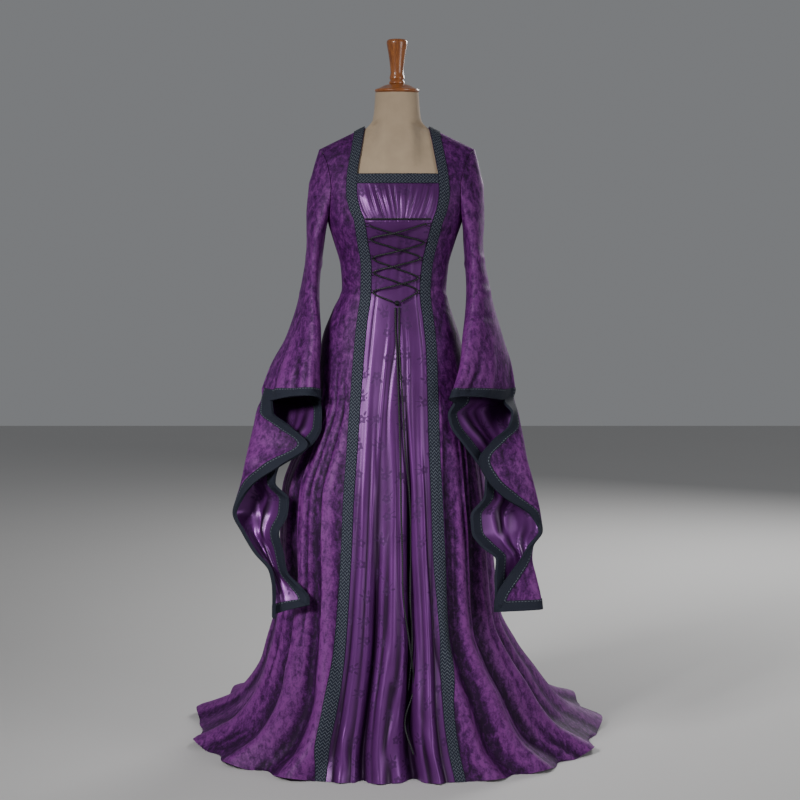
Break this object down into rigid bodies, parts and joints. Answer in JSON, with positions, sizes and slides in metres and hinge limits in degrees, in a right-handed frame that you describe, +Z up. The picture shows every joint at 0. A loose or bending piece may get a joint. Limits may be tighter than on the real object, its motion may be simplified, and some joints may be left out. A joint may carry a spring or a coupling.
{
  "type": "medieval gown on a dress form",
  "caption": "Full-length purple velvet gown with a train, laced satin front, braid edges and hanging bell sleeves, on a limbless dress form.",
  "frame": {"origin": "centre of the underside of the stand's round base, on the floor", "axes": "+Z up, -Y the gown's front, +X the wearer's left; the train runs back towards +Y"},
  "size_m": [1.0549, 1.0825, 1.723],
  "materials": {
    "velvet": "crushed pile, blotchy sheen",
    "satin": "glossy, with small tone on tone flower sprigs",
    "braid": "woven herringbone, matt",
    "cord": "round satin cord",
    "jersey": "plain stretched jersey",
    "wood": "varnished",
    "steel": "satin"
  },
  "bodies": {
    "root": {"front_right": "velvet", "front_left": "velvet", "back_right": "velvet", "back_left": "velvet", "sleeve_right": "velvet", "sleeve_left": "velvet", "centre_skirt": "satin", "centre_bodice": "satin", "sleeve_lining_right": "satin", "sleeve_lining_left": "satin", "braid_front_right": "braid", "braid_front_left": "braid", "braid_neck_front": "braid", "braid_neck_back": "braid", "braid_cuff_right": "braid", "braid_cuff_left": "braid", "lace_bar": "cord", "lace_first": "cord", "lace_second": "cord", "lace_knot": "cord", "lace_end_first": "cord", "lace_end_second": "cord", "form_torso": "jersey", "neck_cap": "wood", "neck_finial": "wood", "stand_pole": "steel", "stand_base": "steel"}
  },
  "joints": []
}
